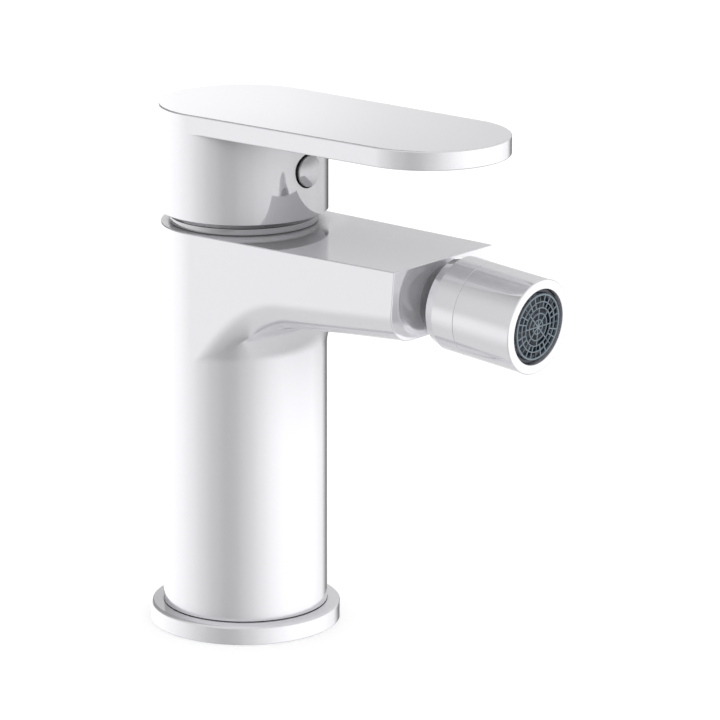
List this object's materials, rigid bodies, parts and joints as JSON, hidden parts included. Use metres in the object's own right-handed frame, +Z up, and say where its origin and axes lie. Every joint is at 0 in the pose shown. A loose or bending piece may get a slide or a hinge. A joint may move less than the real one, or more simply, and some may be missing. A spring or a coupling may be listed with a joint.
{
  "type": "bidet mixer",
  "caption": "Single-lever deck-mounted bidet mixer with a round column, a short square-edged spout, a flat lever and a swivelling aerator nozzle.",
  "frame": {"origin": "on the column's axis, in the plane of the deck that the flange stands on", "axes": "+Z up along the column's axis, the spout, lever and nozzle point to -Y, +X is to the right of someone who looks along +Y at the nozzle"},
  "size_m": [0.052, 0.1273, 0.1447],
  "materials": {
    "chrome": "polished",
    "brass": "machined",
    "rubber": "matte",
    "cartridge_plastic": "moulded",
    "driver_plastic": "moulded",
    "ceramic": "lapped",
    "steel": "machined",
    "slip_plastic": "moulded",
    "aerator_plastic": "moulded",
    "grille_plastic": "moulded"
  },
  "bodies": {
    "root": {"body_casting": "chrome", "base_ring": "chrome", "base_gasket": "rubber", "inlet_seals": "rubber", "cartridge_base": "cartridge_plastic", "disc_seals": "rubber", "fixed_disc": "ceramic", "cartridge_housing": "cartridge_plastic", "housing_oring": "rubber", "retaining_nut": "brass", "cover_ring": "chrome", "ball_stud": "chrome", "stud_oring": "rubber"},
    "carrier": {"cartridge_carrier": "cartridge_plastic", "pivot_pin": "steel", "carrier_oring": "rubber"},
    "lever": {"lever": "chrome", "cartridge_stem": "steel", "grub_screw": "steel", "screw_plug": "chrome"},
    "disc": {"moving_disc": "ceramic", "disc_driver": "driver_plastic"},
    "swing": {"slip_ring": "slip_plastic"},
    "tilt": {"seat_seal": "rubber"},
    "nozzle": {"nozzle_collar": "chrome", "nozzle_barrel": "chrome", "aerator_gasket": "rubber", "aerator_housing": "aerator_plastic", "flow_regulator": "grille_plastic", "aerator_screens": "grille_plastic", "aerator_grille": "grille_plastic"}
  },
  "joints": [
    {"name": "lever_turn", "type": "hinge", "parent": "root", "child": "carrier", "pos_m": [0, 0, 0.118], "axis": [0, 0, 1], "range_deg": [-45, 45]},
    {"name": "lever_lift", "type": "hinge", "parent": "carrier", "child": "lever", "pos_m": [0, 0.0025, 0.118], "axis": [-1, 0, 0], "range_deg": [0, 20]},
    {"name": "disc_slide", "type": "slide", "parent": "carrier", "child": "disc", "axis": [0, -1, 0], "range_m": [0, 0.005]},
    {"name": "nozzle_swing", "type": "hinge", "parent": "root", "child": "swing", "pos_m": [0, -0.08217, 0.10063], "axis": [0, 0, 1], "range_deg": [-15, 15]},
    {"name": "nozzle_tilt", "type": "hinge", "parent": "swing", "child": "tilt", "pos_m": [0, -0.08217, 0.10063], "axis": [-1, 0, 0], "range_deg": [-15, 15]},
    {"name": "nozzle_spin", "type": "hinge", "parent": "tilt", "child": "nozzle", "pos_m": [0, -0.08217, 0.10063], "axis": [0, -0.9965, -0.0837], "continuous": true}
  ],
  "couplings": [
    {"joint": "disc_slide", "follows": "lever_lift", "m_per_rad": 0.01372}
  ]
}
